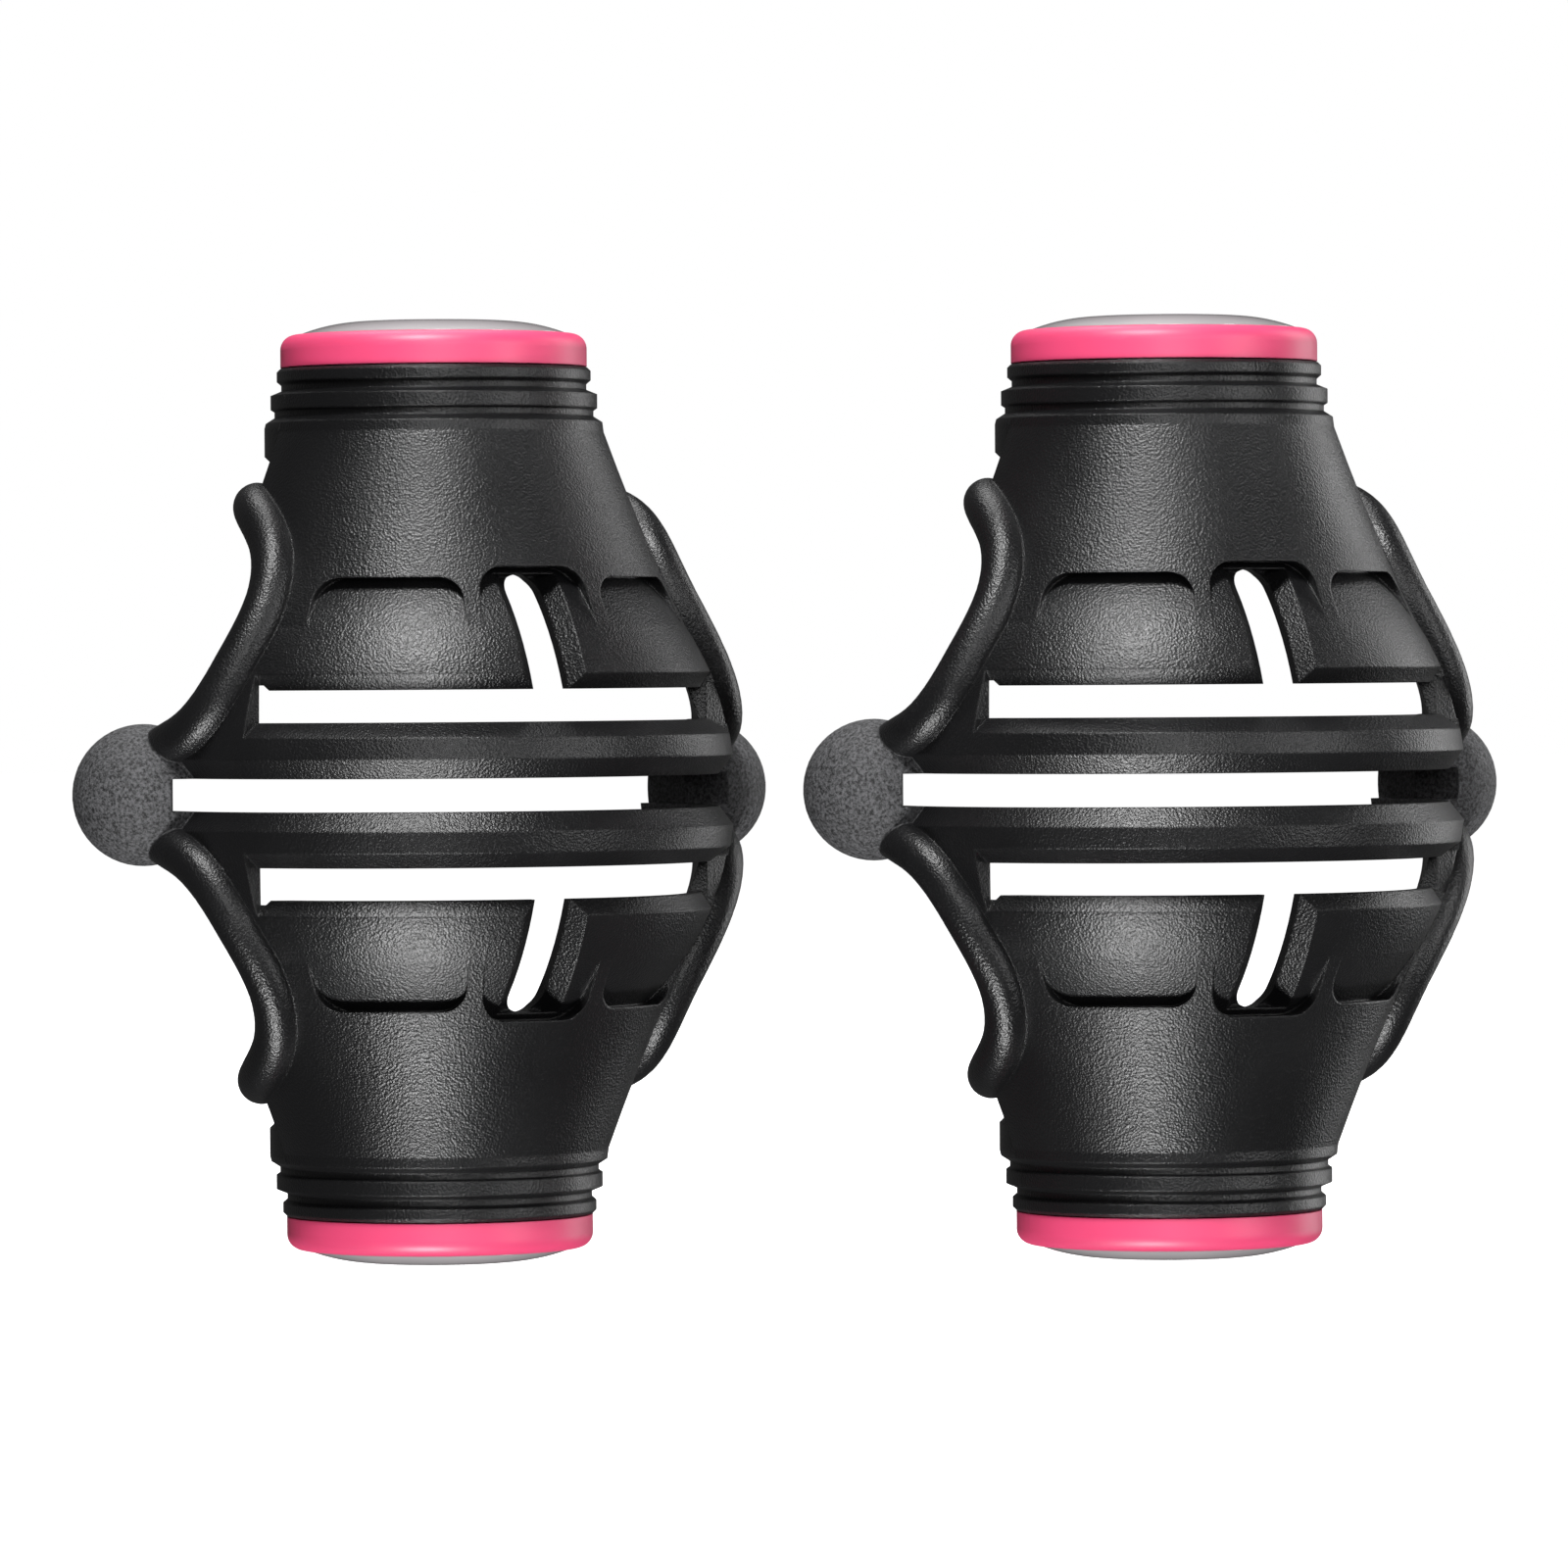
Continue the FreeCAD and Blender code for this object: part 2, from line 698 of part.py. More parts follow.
def cup(name):
    # Cup behind the pad, with a keyed stem that slides in the cap's hub.
    back = gripRadius()
    corners = [
        (zero, back - d.cupTravel),
        (d.cupRadius, heightOnSphere(back, d.cupRadius) - d.cupTravel),
        (d.cupRadius, d.cupRimTop),
        (d.cupRadius - d.cupChamfer, d.cupRimTop + d.cupChamfer),
        (d.stemRadius, d.cupRimTop + d.cupChamfer),
        (d.stemRadius, d.stemTop),
        (zero, d.stemTop),
    ]
    body = turnedBody(name, corners, {0: (back, -1)})
    bodyFeature(
        body,
        "PartDesign::AdditiveBox",
        name + "Key",
        {"Length": d.keyReach * 2, "Width": d.keyWidth, "Height": d.stemTop - d.keyBottom},
        (-d.keyReach, -(d.keyWidth / 2), d.keyBottom),
    )
    bodyFeature(
        body,
        "PartDesign::SubtractiveCylinder",
        name + "Thread",
        {"Radius": d.screwRadius, "Height": d.stemTop - d.screwBottom},
        (zero, zero, d.screwBottom),
    )
    return body


def pad(name):
    # Rubber ring bonded in the cup, hollowed to the ball.
    back = gripRadius()
    front = d.ballRadius + d.padGap
    corners = [
        (d.padInnerRadius, heightOnSphere(front, d.padInnerRadius) - d.cupTravel),
        (d.padOuterRadius, heightOnSphere(front, d.padOuterRadius) - d.cupTravel),
        (d.padOuterRadius, heightOnSphere(back, d.padOuterRadius) - d.cupTravel),
        (d.padInnerRadius, heightOnSphere(back, d.padInnerRadius) - d.cupTravel),
    ]
    return turnedBody(name, corners, {0: (front, -1), 2: (back, 1)})


def screw(name):
    # Cross-headed screw that holds the cup in the hub; its head rides in the cap's head room.
    headTop = d.webTop + d.screwHeadHeight
    corners = [
        (zero, d.screwBottom),
        (d.screwRadius, d.screwBottom),
        (d.screwRadius, d.webTop),
        (d.screwHeadRadius, d.webTop),
        (d.screwHeadRadius, headTop - d.screwHeadEdge),
        (d.screwHeadRadius - d.screwHeadEdge, headTop),
        (zero, headTop),
    ]
    body = turnedBody(name, corners)
    for label, length, width in (
        ("RecessX", d.recessLength, d.recessWidth),
        ("RecessY", d.recessWidth, d.recessLength),
    ):
        bodyFeature(
            body,
            "PartDesign::SubtractiveBox",
            name + label,
            {"Length": length, "Width": width, "Height": d.recessDepth},
            (-(length / 2), -(width / 2), headTop - d.recessDepth),
        )
    return body


def spring(name):
    # Coil between the cup's back and the end of the hub.
    bottom = d.cupRimTop + d.cupChamfer
    helix = doc.addObject("Part::Helix", name + "Path")
    helix.setExpression("Radius", d.coilRadius.formula)
    rise = d.hubBottom - bottom - d.wireRadius * 2 - d.coilClearance * 2
    helix.setExpression("Height", rise.formula)
    helix.setExpression("Pitch", (rise / d.coilTurns).formula)
    helix.setExpression("SegmentLength", d.coilSegment.formula)
    section = solid("Part::Circle", name + "Wire", {"Radius": d.wireRadius})
    section.Placement = FreeCAD.Placement(
        FreeCAD.Vector(d.coilRadius.value, 0, 0), FreeCAD.Rotation(across, 90)
    )
    section.setExpression("Placement.Base.x", d.coilRadius.formula)
    item = doc.addObject("Part::Sweep", name)
    item.Sections = [section]
    item.Spine = helix
    item.Solid = True
    item.Frenet = True
    return item


# Each marker: the shell stands as drawn, and what belongs to an end is drawn for the upper end and turned over
# for the lower one. The right-hand marker stands beside and in front of the left-hand one, both toed in a little.
endPieces = {
    "collar": collar,
    "cap": cap,
    "badge": badge,
    "cup": cup,
    "pad": pad,
    "screw": screw,
}
nodes = {}
for side, sign in (("left", -1), ("right", 1)):
    spot = (d.pairOffsetX * sign, d.middleY - d.pairOffsetY * sign, d.badgeTop)
    toe = FreeCAD.Rotation(up, -sign * sizes["toeAngle"])
    shell = guideShell(f"{side}_guide_shell")
    bind(shell, {}, spot, toe)
    nodes[f"{side}_guide_shell"] = shell
    for end, turnOver in (("upper", 0), ("lower", 180)):
        for label, build in endPieces.items():
            node = f"{side}_{end}_{label}"
            piece = build(node)
            bind(piece, {}, spot, toe.multiply(FreeCAD.Rotation(back, turnOver)))
            nodes[node] = piece
        node = f"{side}_{end}_spring"
        piece = spring(node)
        seat = d.cupRimTop + d.cupChamfer + d.wireRadius + d.coilClearance
        lift = seat if end == "upper" else -(d.hubBottom - d.wireRadius - d.coilClearance)
        bind(piece, {}, (spot[0], spot[1], spot[2] + lift))
        nodes[node] = piece
for node, piece in nodes.items():
    piece.Label = node
doc.recompute()

for item in doc.Objects:
    if "Invalid" in item.State or "Error" in item.State:
        raise RuntimeError(f"{item.Name} did not recompute: {item.State}")
for node, piece in nodes.items():
    if piece.Shape.isNull() or not piece.Shape.isValid():
        raise RuntimeError(f"{node} has no valid shape")
os.makedirs("parts", exist_ok=True)
for node, piece in nodes.items():
    piece.Shape.exportStep(f"parts/{node}.step")
    print(f"{node}: {piece.Shape.Volume:.1f} mm3, {len(piece.Shape.Solids)} solid")
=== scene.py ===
import math

import bpy
from mathutils import Matrix, Vector


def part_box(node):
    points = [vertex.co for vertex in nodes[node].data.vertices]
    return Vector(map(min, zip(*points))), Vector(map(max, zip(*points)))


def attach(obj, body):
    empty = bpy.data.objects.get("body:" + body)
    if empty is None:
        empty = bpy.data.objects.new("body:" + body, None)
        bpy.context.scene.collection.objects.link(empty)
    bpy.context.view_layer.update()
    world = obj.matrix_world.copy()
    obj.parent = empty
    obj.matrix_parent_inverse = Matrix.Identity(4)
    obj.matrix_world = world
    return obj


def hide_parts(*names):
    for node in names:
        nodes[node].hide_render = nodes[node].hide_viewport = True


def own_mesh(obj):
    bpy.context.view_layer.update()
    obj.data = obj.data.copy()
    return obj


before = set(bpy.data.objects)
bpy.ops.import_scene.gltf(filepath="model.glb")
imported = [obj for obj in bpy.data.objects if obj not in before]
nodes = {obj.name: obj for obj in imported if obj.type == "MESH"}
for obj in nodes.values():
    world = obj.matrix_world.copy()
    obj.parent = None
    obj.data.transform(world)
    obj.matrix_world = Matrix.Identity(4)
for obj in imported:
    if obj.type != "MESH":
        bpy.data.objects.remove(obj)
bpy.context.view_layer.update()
mm = 0.001
sides = ("left", "right")
ends = ("upper", "lower")
print("frame loaded:", len(nodes), "nodes")


def linear(hexColour):
    # sRGB hex to the linear colour that the shaders work in
    channels = [int(hexColour[i:i + 2], 16) / 255 for i in (1, 3, 5)]
    return [c / 12.92 if c <= 0.04045 else ((c + 0.055) / 1.055) ** 2.4 for c in channels] + [1.0]


def addNode(tree, kind, settings=None, links=None):
    # settings: attribute or input values; links: input name or number to an output socket
    node = tree.nodes.new(kind)
    for key, value in (settings or {}).items():
        if isinstance(key, str) and hasattr(node, key):
            setattr(node, key, value)
        else:
            node.inputs[key].default_value = value
    for key, socket in (links or {}).items():
        tree.links.new(socket, node.inputs[key])
    return node


def startMaterial(name):
    material = bpy.data.materials.new(name)
    material.use_nodes = True
    tree = material.node_tree
    tree.nodes.clear()
    return material, tree


def finishMaterial(tree, shader):
    addNode(tree, "ShaderNodeOutputMaterial", {}, {"Surface": shader.outputs[0]})


def unitCentre(side):
    # middle of the ball cavity: on the axis of the caps, half way up the marker
    low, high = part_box(f"{side}_upper_cap")
    bottom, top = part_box(f"{side}_lower_badge")[0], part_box(f"{side}_upper_badge")[1]
    return Vector(((low[0] + high[0]) / 2, (low[1] + high[1]) / 2, (bottom[2] + top[2]) / 2))


# black ABS, injection moulded in a tool with a photo-etched leather grain: nearly black, satin, with a fine
# wrinkled sparkle in the highlights and a soft line of light on every edge
shellFinish = {
    "body": "#0c0c0d",
    "bodyWorn": "#111112",
    "knob": "#575759",
    "knobDark": "#0a0a0b",
    "roughness": 0.33,
    "knobRoughness": 0.66,
    "gloss": 0.36,
    "ior": 1.53,
    "grainWidth": 0.19 * mm,
    "grainDepth": 0.036 * mm,
    "fineGrainWidth": 0.09 * mm,
    "sparkWidth": 0.26 * mm,
    "sparkDepth": 0.12 * mm,
    "edgeRadius": 0.22 * mm,
    "knobRadius": 5.55 * mm,
    "knobOffset": (24.2 * mm, 2.3 * mm),
    "knobBlend": (0.02 * mm, 0.25 * mm),
    "toeIn": {"left": 2.33, "right": -2.33},  # each marker is turned this many degrees about its long axis
}

# how wrinkles, pebbles and slow clouds mix, in every moulded surface that has a grain
grainMix = {
    "warpScale": 0.6,
    "warpReach": 0.35,
    "pebbleSoftness": 0.6,
    "fineShare": 0.55,
    "cloudSize": 9 * mm,
    "cloudRange": (0.3, 0.7),
    "glossSpread": (-0.03, 0.05),
    "sparkRange": (0.38, 0.62),
}
bevelSamples = 3


def grainedMoulding(name, finish, side=None):
    material, tree = startMaterial(name)
    coords = addNode(tree, "ShaderNodeTexCoord").outputs["Object"]
    # grain: wrinkles between soft pebbles, worked out from the grain width
    warp = addNode(
        tree, "ShaderNodeTexNoise", {"Scale": grainMix["warpScale"] / finish["grainWidth"], "Detail": 2.0},
        {"Vector": coords},
    )
    bent = addNode(
        tree, "ShaderNodeVectorMath",
        {"operation": "MULTIPLY_ADD", 1: (grainMix["warpReach"] * finish["grainWidth"],) * 3},
        {0: warp.outputs["Color"], 2: coords},
    )
    pebble = addNode(
        tree, "ShaderNodeTexVoronoi",
        {"feature": "SMOOTH_F1", "Scale": 1 / finish["grainWidth"],
         "Smoothness": grainMix["pebbleSoftness"]},
        {"Vector": bent.outputs[0]},
    )
    fine = addNode(
        tree, "ShaderNodeTexNoise",
        {"Scale": 1 / finish["fineGrainWidth"], "Detail": 3.0, "Roughness": 0.6},
        {"Vector": coords},
    )
    grain = addNode(
        tree, "ShaderNodeMath", {"operation": "MULTIPLY_ADD", 1: grainMix["fineShare"]},
        {0: fine.outputs["Fac"], 2: pebble.outputs["Distance"]},
    )
    # slow clouds in the gloss, as a large moulding has
    cloud = addNode(
        tree, "ShaderNodeTexNoise", {"Scale": 1 / grainMix["cloudSize"], "Detail": 2.0}, {"Vector": coords}
    )
    glossier, duller = grainMix["glossSpread"]
    gloss = addNode(
        tree, "ShaderNodeMapRange",
        {"From Min": grainMix["cloudRange"][0], "From Max": grainMix["cloudRange"][1],
         "To Min": finish["roughness"] + glossier, "To Max": finish["roughness"] + duller},
        {"Value": cloud.outputs["Fac"]},
    )
    tint = addNode(
        tree, "ShaderNodeMix",
        {"data_type": "RGBA", 6: linear(finish["body"]), 7: linear(finish["bodyWorn"])},
        {0: cloud.outputs["Fac"]},
    )
    edge = addNode(tree, "ShaderNodeBevel", {"samples": bevelSamples, "Radius": finish["edgeRadius"]})
    heightSocket = grain.outputs[0]
    colourSocket = tint.outputs[2]
    roughSocket = gloss.outputs[0]
    if side is not None:
        # the knobs are etched coarser and read greyer: a mask by distance from each knob's middle
        turn = Matrix.Rotation(math.radians(finish["toeIn"][side]), 3, "Z")
        inside, outside = finish["knobBlend"]
        masks = []
        for sign in (-1, 1):
            offset = Vector((sign * finish["knobOffset"][0], finish["knobOffset"][1], 0))
            knobAt = unitCentre(side) + turn @ offset
            away = addNode(tree, "ShaderNodeVectorMath", {"operation": "DISTANCE", 1: knobAt}, {0: coords})
            masks.append(addNode(
                tree, "ShaderNodeMapRange",
                {"From Min": finish["knobRadius"] + inside, "From Max": finish["knobRadius"] + outside,
                 "To Min": 1.0, "To Max": 0.0},
                {"Value": away.outputs["Value"]},
            ))
        mask = addNode(
            tree, "ShaderNodeMath", {"operation": "MAXIMUM"},
            {0: masks[0].outputs[0], 1: masks[1].outputs[0]},
        ).outputs[0]
        spark = addNode(
            tree, "ShaderNodeTexNoise",
            {"Scale": 1 / finish["sparkWidth"], "Detail": 4.0, "Roughness": 0.7},
            {"Vector": coords},
        )
        sparkle = addNode(
            tree, "ShaderNodeMapRange",
            {"From Min": grainMix["sparkRange"][0], "From Max": grainMix["sparkRange"][1]},
            {"Value": spark.outputs["Fac"]},
        )
        sparkTint = addNode(
            tree, "ShaderNodeMix",
            {"data_type": "RGBA", 6: linear(finish["knobDark"]), 7: linear(finish["knob"])},
            {0: sparkle.outputs[0]},
        )
        sparkHeight = addNode(
            tree, "ShaderNodeMath",
            {"operation": "MULTIPLY", 1: finish["sparkDepth"] / finish["grainDepth"]},
            {0: spark.outputs["Fac"]},
        )
        heightSocket = addNode(
            tree, "ShaderNodeMix", {"data_type": "FLOAT"},
            {0: mask, 2: heightSocket, 3: sparkHeight.outputs[0]},
        ).outputs[0]
        colourSocket = addNode(
            tree, "ShaderNodeMix", {"data_type": "RGBA"},
            {0: mask, 6: colourSocket, 7: sparkTint.outputs[2]},
        ).outputs[2]
        roughSocket = addNode(
            tree, "ShaderNodeMix", {"data_type": "FLOAT", 3: finish["knobRoughness"]},
            {0: mask, 2: roughSocket},
        ).outputs[0]
    bump = addNode(
        tree, "ShaderNodeBump", {"Strength": 1.0, "Distance": finish["grainDepth"]},
        {"Height": heightSocket, "Normal": edge.outputs[0]},
    )
    shader = addNode(
        tree, "ShaderNodeBsdfPrincipled", {"IOR": finish["ior"], "Specular IOR Level": finish["gloss"]},
        {"Base Color": colourSocket, "Roughness": roughSocket, "Normal": bump.outputs[0]},
    )
    finishMaterial(tree, shader)
    return material


# pink ABS, injection moulded, not polished: saturated, satin-glossy, with faint flow clouds
capFinish = {
    "body": "#d5456e",
    "bodyDeep": "#cc3c66",
    "roughness": 0.46,
    "ior": 1.53,
    "flowSize": 6 * mm,
    "orangePeelWidth": 0.9 * mm,
    "orangePeelDepth": 0.004 * mm,
    "edgeRadius": 0.15 * mm,
    "flowRange": (0.3, 0.7),
    "glossSpread": 0.04,
    "glow": {"weight": 0.08, "colour": (1.0, 0.4, 0.4), "depth": 1 * mm},
}


def pinkAbs(name, finish):
    material, tree = startMaterial(name)
    coords = addNode(tree, "ShaderNodeTexCoord").outputs["Object"]
    flow = addNode(
        tree, "ShaderNodeTexNoise", {"Scale": 1 / finish["flowSize"], "Detail": 2.0}, {"Vector": coords}
    )
    tint = addNode(
        tree, "ShaderNodeMix",
        {"data_type": "RGBA", 6: linear(finish["body"]), 7: linear(finish["bodyDeep"])},
        {0: flow.outputs["Fac"]},
    )
    gloss = addNode(
        tree, "ShaderNodeMapRange",
        {"From Min": finish["flowRange"][0], "From Max": finish["flowRange"][1],
         "To Min": finish["roughness"] - finish["glossSpread"],
         "To Max": finish["roughness"] + finish["glossSpread"]},
        {"Value": flow.outputs["Fac"]},
    )
    peel = addNode(
        tree, "ShaderNodeTexNoise", {"Scale": 1 / finish["orangePeelWidth"], "Detail": 2.0},
        {"Vector": coords},
    )
    edge = addNode(tree, "ShaderNodeBevel", {"samples": bevelSamples, "Radius": finish["edgeRadius"]})
    bump = addNode(
        tree, "ShaderNodeBump", {"Strength": 1.0, "Distance": finish["orangePeelDepth"]},
        {"Height": peel.outputs["Fac"], "Normal": edge.outputs[0]},
    )
    shader = addNode(
        tree, "ShaderNodeBsdfPrincipled",
        {"IOR": finish["ior"], "Subsurface Weight": finish["glow"]["weight"],
         "Subsurface Radius": finish["glow"]["colour"], "Subsurface Scale": finish["glow"]["depth"]},
        {"Base Color": tint.outputs[2], "Roughness": gloss.outputs[0], "Normal": bump.outputs[0]},
    )
    finishMaterial(tree, shader)
    return material


# polyurethane resin, poured over a pale disc: a wet gloss with a slow, shallow waviness
resinFinish = {
    "disc": "#b3adaf",
    "discDeep": "#a29c9f",
    "roughness": 0.3,
    "coatRoughness": 0.04,
    "ior": 1.5,
    "waveWidth": 5 * mm,
    "waveDepth": 0.01 * mm,
}


def domedResin(name, finish):
    material, tree = startMaterial(name)
    coords = addNode(tree, "ShaderNodeTexCoord").outputs["Object"]
    wave = addNode(
        tree, "ShaderNodeTexNoise", {"Scale": 1 / finish["waveWidth"], "Detail": 1.0}, {"Vector": coords}
    )
    tint = addNode(
        tree, "ShaderNodeMix",
        {"data_type": "RGBA", 6: linear(finish["disc"]), 7: linear(finish["discDeep"])},
        {0: wave.outputs["Fac"]},
    )
    bump = addNode(
        tree, "ShaderNodeBump", {"Strength": 1.0, "Distance": finish["waveDepth"]},
        {"Height": wave.outputs["Fac"]},
    )
    shader = addNode(
        tree, "ShaderNodeBsdfPrincipled",
        {"IOR": finish["ior"], "Roughness": finish["roughness"], "Coat Weight": 1.0,
         "Coat Roughness": finish["coatRoughness"], "Coat IOR": finish["ior"]},
        {"Base Color": tint.outputs[2], "Normal": bump.outputs[0]},
    )
    finishMaterial(tree, shader)
    return material


# acetal, injection moulded: dark grey, waxy
cupFinish = {
    "body": "#3a3a3c",
    "bodyWorn": "#454548",
    "roughness": 0.42,
    "gloss": 0.5,
    "ior": 1.48,
    "grainWidth": 0.3 * mm,
    "grainDepth": 0.008 * mm,
    "fineGrainWidth": 0.15 * mm,
    "edgeRadius": 0.15 * mm,
}

# silicone rubber, compression moulded: black, dull, finely pitted
padFinish = {
    "body": "#1d1c1c",
    "bodyWorn": "#2a2829",
    "roughness": 0.7,
    "gloss": 0.5,
    "ior": 1.41,
    "grainWidth": 0.35 * mm,
    "grainDepth": 0.015 * mm,
    "fineGrainWidth": 0.12 * mm,
    "edgeRadius": 0.2 * mm,
}

# steel: the spring is drawn wire, with fine lines along it, the screws are zinc plated and slightly cloudy
springFinish = {"body": "#a9a9ad", "roughness": 0.28, "lineWidth": 0.05 * mm}
springCoil = {
    "wireRadius": 0.35 * mm,
    "turns": 3,
    "stepsPerTurn": 60,
    "around": 12,
    "squashedShare": 0.53,  # of its length at rest, when the cup is right out
}
screwFinish = {"body": "#b7b9bd", "roughness": 0.34, "lineWidth": 0.3 * mm}
steelRange = (0.3, 0.7)
steelSpread = (-0.08, 0.1)


def plainSteel(name, finish):
    material, tree = startMaterial(name)
    coords = addNode(tree, "ShaderNodeTexCoord").outputs["Object"]
    lines = addNode(
        tree, "ShaderNodeTexNoise", {"Scale": 1 / finish["lineWidth"], "Detail": 3.0}, {"Vector": coords}
    )
    gloss = addNode(
        tree, "ShaderNodeMapRange",
        {"From Min": steelRange[0], "From Max": steelRange[1],
         "To Min": finish["roughness"] + steelSpread[0], "To Max": finish["roughness"] + steelSpread[1]},
        {"Value": lines.outputs["Fac"]},
    )
    shader = addNode(
        tree, "ShaderNodeBsdfPrincipled", {"Base Color": linear(finish["body"]), "Metallic": 1.0},
        {"Roughness": gloss.outputs[0]},
    )
    finishMaterial(tree, shader)
    return material


def dress(nodeName, material):
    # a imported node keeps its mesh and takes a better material
    slots = nodes[nodeName].material_slots
    for slot in slots:
        slot.material = material
    if not slots:
        nodes[nodeName].data.materials.append(material)


def coilSpring(side, end, material):
    # round wire wound between the cup and the hub
    node = f"{side}_{end}_spring"
    low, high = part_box(node)
    wire, around = springCoil["wireRadius"], springCoil["around"]
    radius = (high[0] - low[0]) / 2 - wire
    middle = Vector(((low[0] + high[0]) / 2, (low[1] + high[1]) / 2, 0))
    bottom, rise = low[2] + wire, high[2] - low[2] - 2 * wire
    steps = springCoil["turns"] * springCoil["stepsPerTurn"]
    climb = rise / (math.tau * springCoil["turns"] * radius)
    points, faces = [], []
    for step in range(steps + 1):
        turn = math.tau * springCoil["turns"] * step / steps
        outward = Vector((math.cos(turn), math.sin(turn), 0))
        run = Vector((-math.sin(turn), math.cos(turn), climb)).normalized()
        upward = run.cross(outward)
        centre = middle + outward * radius + Vector((0, 0, bottom + rise * step / steps))
        for spoke in range(around):
            angle = math.tau * spoke / around
            points.append(centre + (outward * math.cos(angle) + upward * math.sin(angle)) * wire)
    for step in range(steps):
        for spoke in range(around):
            here = step * around + spoke
            after = step * around + (spoke + 1) % around
            faces.append((here, after, after + around, here + around))
    faces.append(tuple(range(around))[::-1])
    faces.append(tuple(steps * around + spoke for spoke in range(around)))
    mesh = bpy.data.meshes.new(node + "Coil")
    mesh.from_pydata(points, [], faces)
    mesh.polygons.foreach_set("use_smooth", [len(face) == 4 for face in faces])
    mesh.materials.append(material)
    coil = bpy.data.objects.new(node + "Coil", mesh)
    bpy.context.scene.collection.objects.link(coil)
    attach(coil, f"{side}_{end}_cap_body")
    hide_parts(node)
    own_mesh(coil)


collarAbs = grainedMoulding("blackAbsEtchedGrainCollar", shellFinish)
capPlastic = pinkAbs("pinkAbsSatinMoulded", capFinish)
badgeResin = domedResin("domedPolyurethaneResin", resinFinish)
cupPlastic = grainedMoulding("greyAcetalMoulded", cupFinish)
padRubber = grainedMoulding("blackSiliconeRubberMoulded", padFinish)
springSteel = plainSteel("drawnSpringSteel", springFinish)
screwSteel = plainSteel("zincPlatedSteel", screwFinish)
for side in sides:
    dress(f"{side}_guide_shell", grainedMoulding(f"blackAbsEtchedGrain_{side}", shellFinish, side))
    for end in ends:
        for piece, material in (
            ("collar", collarAbs), ("cap", capPlastic), ("badge", badgeResin), ("cup", cupPlastic),
            ("pad", padRubber), ("spring", springSteel), ("screw", screwSteel),
        ):
            dress(f"{side}_{end}_{piece}", material)
print("materials assigned")

for side in sides:
    for end in ends:
        coilSpring(side, end, springSteel)
print("springs wound")

# camera and studio
studio = {
    "azimuth": -25.0,
    "elevation": 0.8,
    "roll": -0.4,
    "distance": 709 * mm,
    "frameWidth": 124.0 * mm,  # width of the picture at the markers
    "sideShift": -1.4 * mm,
    "rise": 0.39 * mm,
    "sensorWidth": 36,
    "nearLimit": 0.01,
    "floor": "#f4f4f4",
    "floorRoughness": 0.9,
    "floorHalfWidth": 3.0,
    "floorGlow": 0.95,
    "room": 0.07,
}


def aim(azimuth, elevation):
    # unit vectors to the camera's right, up and back
    turn, lift = math.radians(azimuth), math.radians(elevation)
    right = Vector((math.cos(turn), math.sin(turn), 0))
    back = Vector((math.sin(turn) * math.cos(lift), -math.cos(turn) * math.cos(lift), math.sin(lift)))
    return right, back.cross(right), back


def addCamera(target):
    right, up, back = aim(studio["azimuth"], studio["elevation"])
    lens = bpy.data.cameras.new("camera")
    lens.sensor_width = studio["sensorWidth"]
    lens.lens = studio["sensorWidth"] * studio["distance"] / studio["frameWidth"]
    lens.clip_start = studio["nearLimit"]
    camera = bpy.data.objects.new("camera", lens)
    place = target + right * studio["sideShift"] + up * studio["rise"] + back * studio["distance"]
    spin = math.radians(studio["roll"])
    rolledRight = right * math.cos(spin) + up * math.sin(spin)
    rolledUp = back.cross(rolledRight)
    stance = Matrix((rolledRight, rolledUp, back)).transposed()
    camera.matrix_world = Matrix.Translation(place) @ stance.to_4x4()
    bpy.context.scene.collection.objects.link(camera)
    bpy.context.scene.camera = camera
    return right, up, back


def softLight(name, place, target, size, power):
    lamp = bpy.data.lights.new(name, "AREA")
    lamp.shape = "RECTANGLE"
    lamp.size, lamp.size_y = size
    lamp.energy = power
    light = bpy.data.objects.new(name, lamp)
    light.location = place
    light.rotation_euler = (target - place).to_track_quat("-Z", "Y").to_euler()
    bpy.context.scene.collection.objects.link(light)


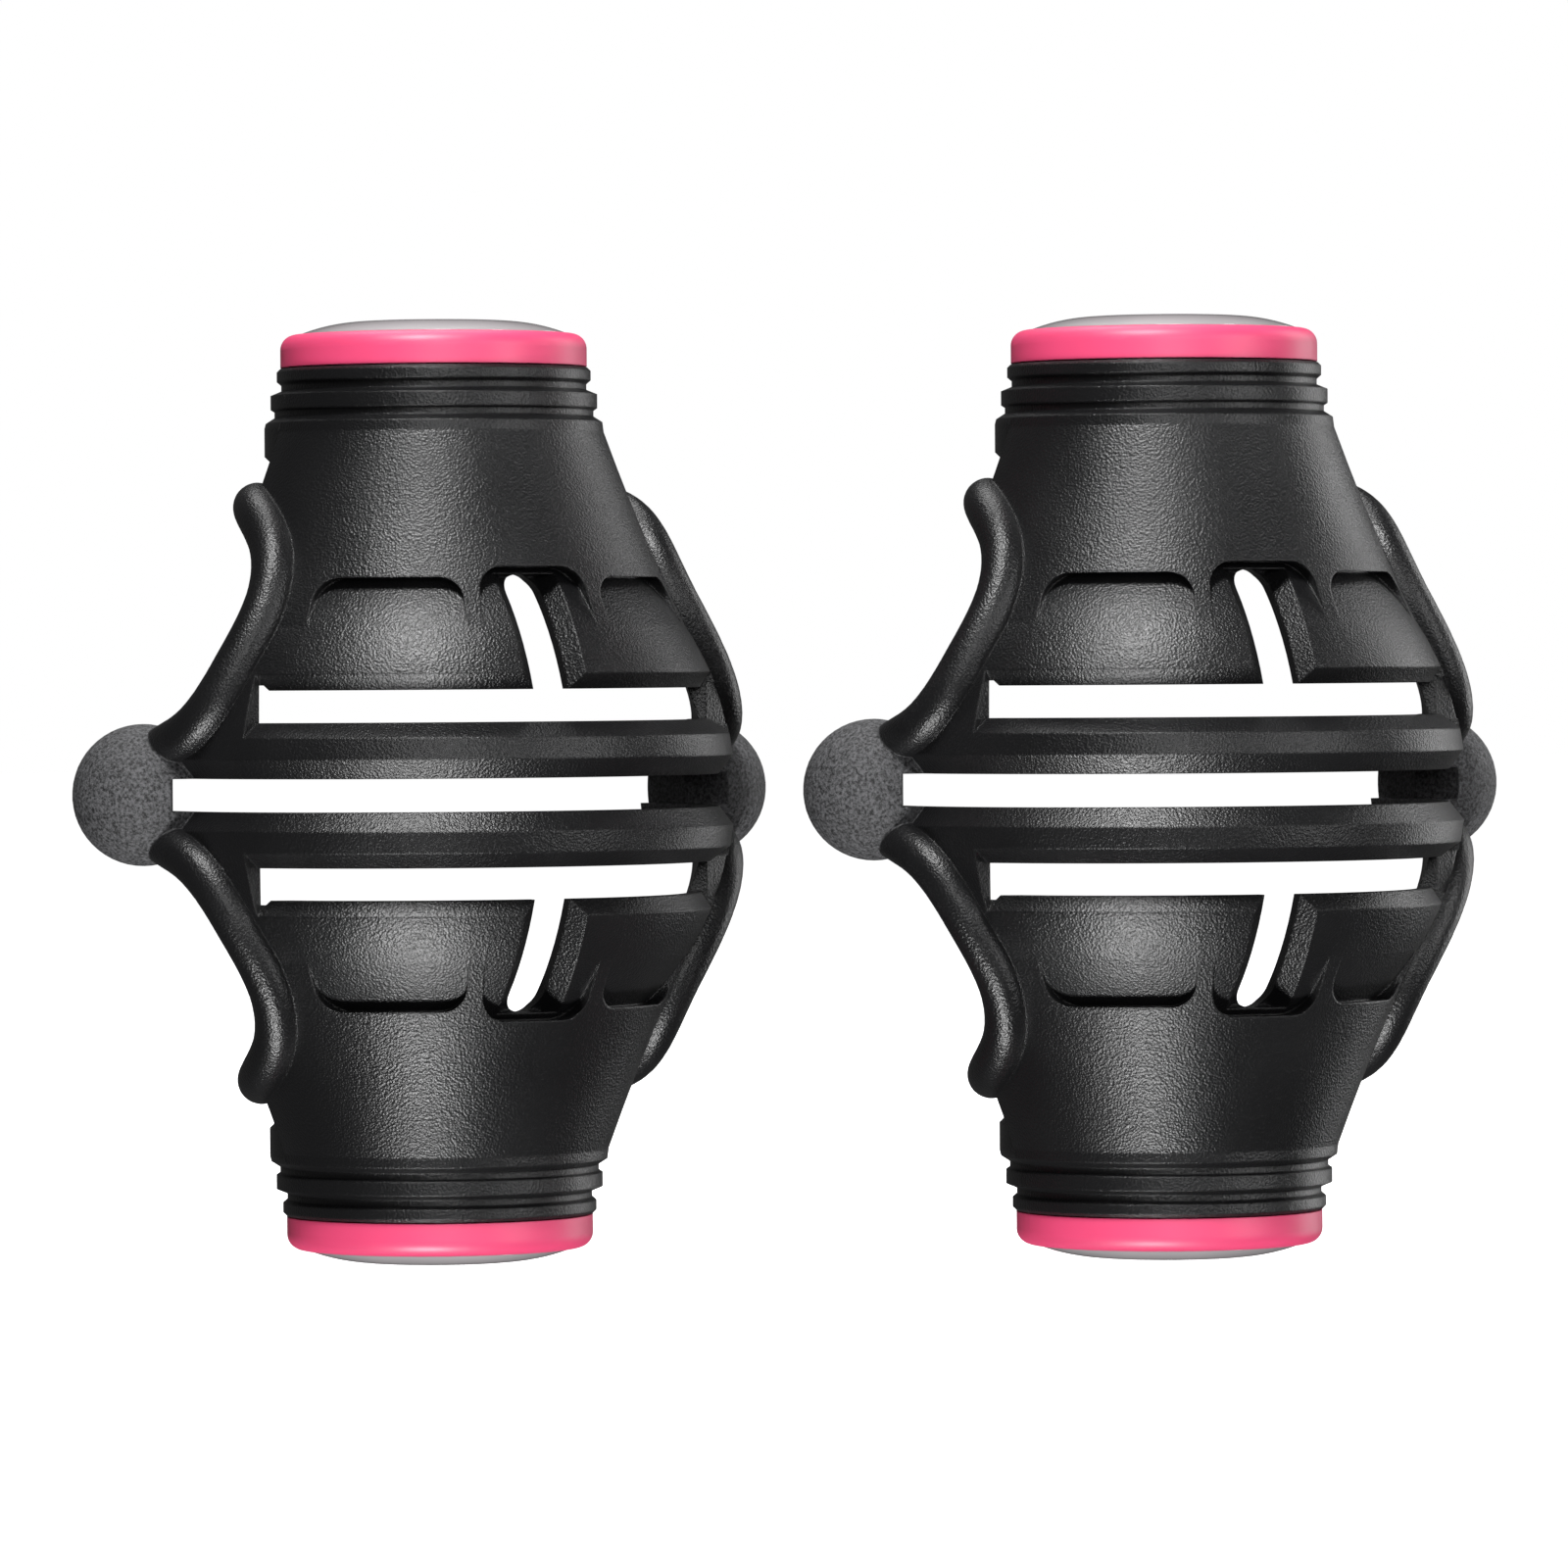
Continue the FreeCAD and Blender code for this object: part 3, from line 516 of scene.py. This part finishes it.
middle = (unitCentre("left") + unitCentre("right")) / 2
right, up, back = addCamera(middle)
lights = {
    # name: degrees round to the right and up from the camera's line, distance, size, watts
    "key": ((-17, 60), 0.55, (0.08, 0.16), 4.2),
    "lowKey": ((-17, -60), 0.55, (0.08, 0.16), 3.8),
    "front": ((5, 12), 0.80, (0.30, 0.30), 2.2),
    "rightSide": ((58, 8), 0.60, (0.12, 0.50), 1.6),
    "rightRim": ((125, 10), 0.60, (0.20, 0.60), 1.6),
    "rearFill": ((-165, 65), 0.80, (0.40, 0.40), 2.5),
}
for name, ((bearing, lift), distance, size, power) in lights.items():
    level = math.cos(math.radians(lift))
    toLight = (
        right * math.sin(math.radians(bearing)) * level + back * math.cos(math.radians(bearing)) * level
        + up * math.sin(math.radians(lift))
    )
    softLight(name, middle + toLight * distance, middle, size, power)

# white backdrop for the camera, a dim even room for everything else
world = bpy.data.worlds.new("studio")
bpy.context.scene.world = world
world.use_nodes = True
worldTree = world.node_tree
seen = addNode(worldTree, "ShaderNodeLightPath").outputs["Is Camera Ray"]
roomLight = addNode(
    worldTree, "ShaderNodeMix", {"data_type": "FLOAT", 2: studio["room"], 3: 1.0}, {0: seen}
)
backdrop = worldTree.nodes["Background"]
backdrop.inputs["Color"].default_value = (1, 1, 1, 1)
worldTree.links.new(roomLight.outputs[0], backdrop.inputs["Strength"])

floorMesh = bpy.data.meshes.new("floor")
half = studio["floorHalfWidth"]
corners = [(-half, -half, 0), (half, -half, 0), (half, half, 0), (-half, half, 0)]
floorMesh.from_pydata(corners, [], [(0, 1, 2, 3)])
floor = bpy.data.objects.new("floor", floorMesh)
bpy.context.scene.collection.objects.link(floor)
floorPaint, floorTree = startMaterial("paleFloor")
finishMaterial(floorTree, addNode(
    floorTree, "ShaderNodeBsdfPrincipled",
    {"Base Color": linear(studio["floor"]), "Roughness": studio["floorRoughness"],
     "Emission Color": (1, 1, 1, 1), "Emission Strength": studio["floorGlow"]},
))
floorMesh.materials.append(floorPaint)
# lit from beneath like a light table: the low light passes it, and the markers do not mirror it
floor.visible_shadow = False
floor.visible_glossy = False
floor.visible_diffuse = False
bpy.context.scene.view_settings.view_transform = "Standard"
print("studio ready")
